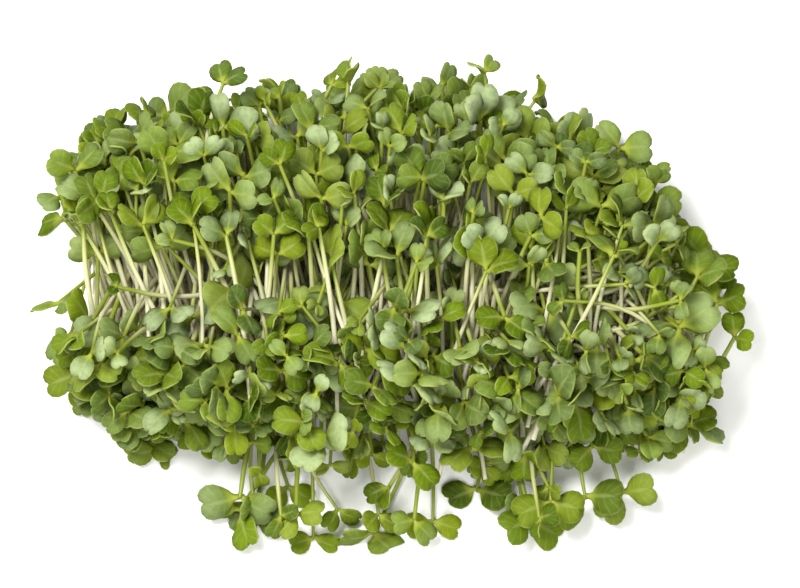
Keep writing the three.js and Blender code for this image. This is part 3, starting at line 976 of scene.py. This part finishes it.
def watery_stem():
    """A seedling's stem, grown in the dark of the sward: cream and watery at its cut end, and yellow-green
    towards its head."""
    material, tree = new_material("watery seedling stem")
    found = {}
    for name in ("stem_along", "tone", "greening_and_bounce_light"):
        found[name] = add_node(tree, "ShaderNodeAttribute", attribute_name=name).outputs["Fac"]
    # Painted light in part: greening moves the green further down a stem, partly its own green and partly green
    # light bounced among the leaves onto stems in shade.
    further = add_node(tree, "ShaderNodeMath", {0: found["tone"], 1: 0.15, 2: found["greening_and_bounce_light"]},
                       operation="MULTIPLY_ADD")
    moved = add_node(tree, "ShaderNodeMath", {0: further.outputs[0], 1: found["stem_along"]}, operation="ADD")
    ramp = add_node(tree, "ShaderNodeValToRGB", {"Fac": moved.outputs[0]})
    stops = ramp.color_ramp.elements
    stops[0].position, stops[0].color = 0.1, linear("#DEDABE")
    stops[1].position, stops[1].color = 1.0, linear("#8F9C34")
    for position, colour in ((0.66, "#D6D4AA"), (0.87, "#B9BD76")):
        stops.new(position).color = linear(colour)
    place = add_node(tree, "ShaderNodeTexCoord").outputs["Object"]
    streaks = add_node(tree, "ShaderNodeTexNoise", {"Vector": place, "Scale": STREAKS, "Detail": 2.0})
    bump = add_node(tree, "ShaderNodeBump",
                    {"Strength": 0.15, "Distance": 0.1 * MM, "Height": streaks.outputs["Fac"]})
    skin = add_node(tree, "ShaderNodeBsdfPrincipled",
                    {"Base Color": ramp.outputs[0], "Roughness": 0.4, "Specular IOR Level": 0.45,
                     "Normal": bump.outputs[0]})
    through = add_node(tree, "ShaderNodeBsdfTranslucent", {"Color": ramp.outputs[0]})
    mixed = add_node(tree, "ShaderNodeMixShader", {0: 0.3, 1: skin.outputs[0], 2: through.outputs[0]})
    add_node(tree, "ShaderNodeOutputMaterial", {"Surface": mixed.outputs[0]})
    return material


def matt_board():
    """The studio floor: white painted board, rolled matt, with a faint unevenness."""
    material, tree = new_material("matt white board")
    place = add_node(tree, "ShaderNodeTexCoord").outputs["Object"]
    grain = add_node(tree, "ShaderNodeTexNoise", {"Vector": place, "Scale": BOARD_GRAIN, "Detail": 3.0})
    bump = add_node(tree, "ShaderNodeBump",
                    {"Strength": 0.04, "Distance": 0.2 * MM, "Height": grain.outputs["Fac"]})
    skin = add_node(tree, "ShaderNodeBsdfPrincipled",
                    {"Base Color": linear("#F6F6F4"), "Roughness": 0.8, "Normal": bump.outputs[0]})
    add_node(tree, "ShaderNodeOutputMaterial", {"Surface": skin.outputs[0]})
    return material


# The heap

tree = seedling_tree()
leaf_shape = flat_leaf()
sizes = {
    "Leaf Shape": leaf_shape,
    "Leaf Material": waxy_seed_leaf(),
    "Stem Material": watery_stem(),
}
laid = Laid()
for name, bunch in BUNCHES.items():
    for index, head in enumerate(head_places(bunch)):
        node_name = f"{name}_sprig_{index + 1:02d}"
        if node_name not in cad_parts:
            continue
        number = index + 1 + (0 if bunch["side"] > 0 else NEAR_NUMBERS)
        plants = packed_seedlings(bunch, head, number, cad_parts[node_name])
        outward = head.y / outline_at(bunch["outline"], head.x)
        for plant in plants:
            plant["greening_and_bounce_light"] = greening_and_bounce_at(outward)
            laid.add(*coarse_skin(plant))
        piece = plants_piece(f"{node_name}_fine", plants, number, tree, sizes)
        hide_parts(node_name)

for name, plants in filling_seedlings(laid).items():
    for start in range(0, len(plants), PLANTS_PER_PIECE):
        part = plants[start:start + PLANTS_PER_PIECE]
        number = start // PLANTS_PER_PIECE + 1
        seed = FILL_SEED[name] + number
        plants_piece(f"{name}_filling_{number}", part, seed, tree, sizes)

# Floor, light and camera

FLOOR_REACH = 3.0
floor_mesh = bpy.data.meshes.new("studio_floor")
floor_corners = [(x * FLOOR_REACH, y * FLOOR_REACH, 0) for x, y in ((-1, -1), (1, -1), (1, 1), (-1, 1))]
floor_mesh.from_pydata(floor_corners, [], [(0, 1, 2, 3)])
floor_mesh.materials.append(matt_board())
floor = bpy.data.objects.new("studio_floor", floor_mesh)
bpy.context.scene.collection.objects.link(floor)
floor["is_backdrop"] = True

WORLD_STRENGTH = 0.57
world = bpy.data.worlds.new("studio")
world.use_nodes = True
world.node_tree.nodes["Background"].inputs["Color"].default_value = (1, 1, 1, 1)
world.node_tree.nodes["Background"].inputs["Strength"].default_value = WORLD_STRENGTH
bpy.context.scene.world = world


def softbox(name, place, size, watts):
    """A square lamp that points at the heap."""
    light = bpy.data.lights.new(name, "AREA")
    light.shape = "SQUARE"
    light.size = size
    light.energy = watts
    lamp = bpy.data.objects.new(name, light)
    lamp.location = place
    lamp.rotation_euler = (-Vector(place)).to_track_quat("-Z", "Y").to_euler()
    bpy.context.scene.collection.objects.link(lamp)


softbox("key_softbox", place=(-0.35, 0.15, 0.9), size=0.45, watts=15.5)
softbox("front_softbox", place=(0.2, -0.8, 0.7), size=0.6, watts=7.5)

VIEW_ELEVATION = math.radians(73)  # above level, looking along +Y
VIEW_DISTANCE = 1.2
VIEW_WIDTH = 0.2445  # what the picture's width takes in at the heap
VIEW_CENTRE = Vector((0.0037, 0.002, 0.016))
SENSOR_WIDTH = 36
lens = bpy.data.cameras.new("camera")
lens.sensor_width = SENSOR_WIDTH
lens.lens = SENSOR_WIDTH * VIEW_DISTANCE / VIEW_WIDTH
camera = bpy.data.objects.new("camera", lens)
backwards = Vector((0, -math.cos(VIEW_ELEVATION), math.sin(VIEW_ELEVATION)))
camera.location = VIEW_CENTRE + backwards * VIEW_DISTANCE
camera.rotation_euler = backwards.to_track_quat("Z", "Y").to_euler()
bpy.context.scene.collection.objects.link(camera)
bpy.context.scene.camera = camera
bpy.context.scene.view_settings.view_transform = "Standard"

visual_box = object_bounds()
boxes = {"cad": cad_box, "visual": visual_box}
{name: [list(corner) for corner in box] for name, box in boxes.items()}
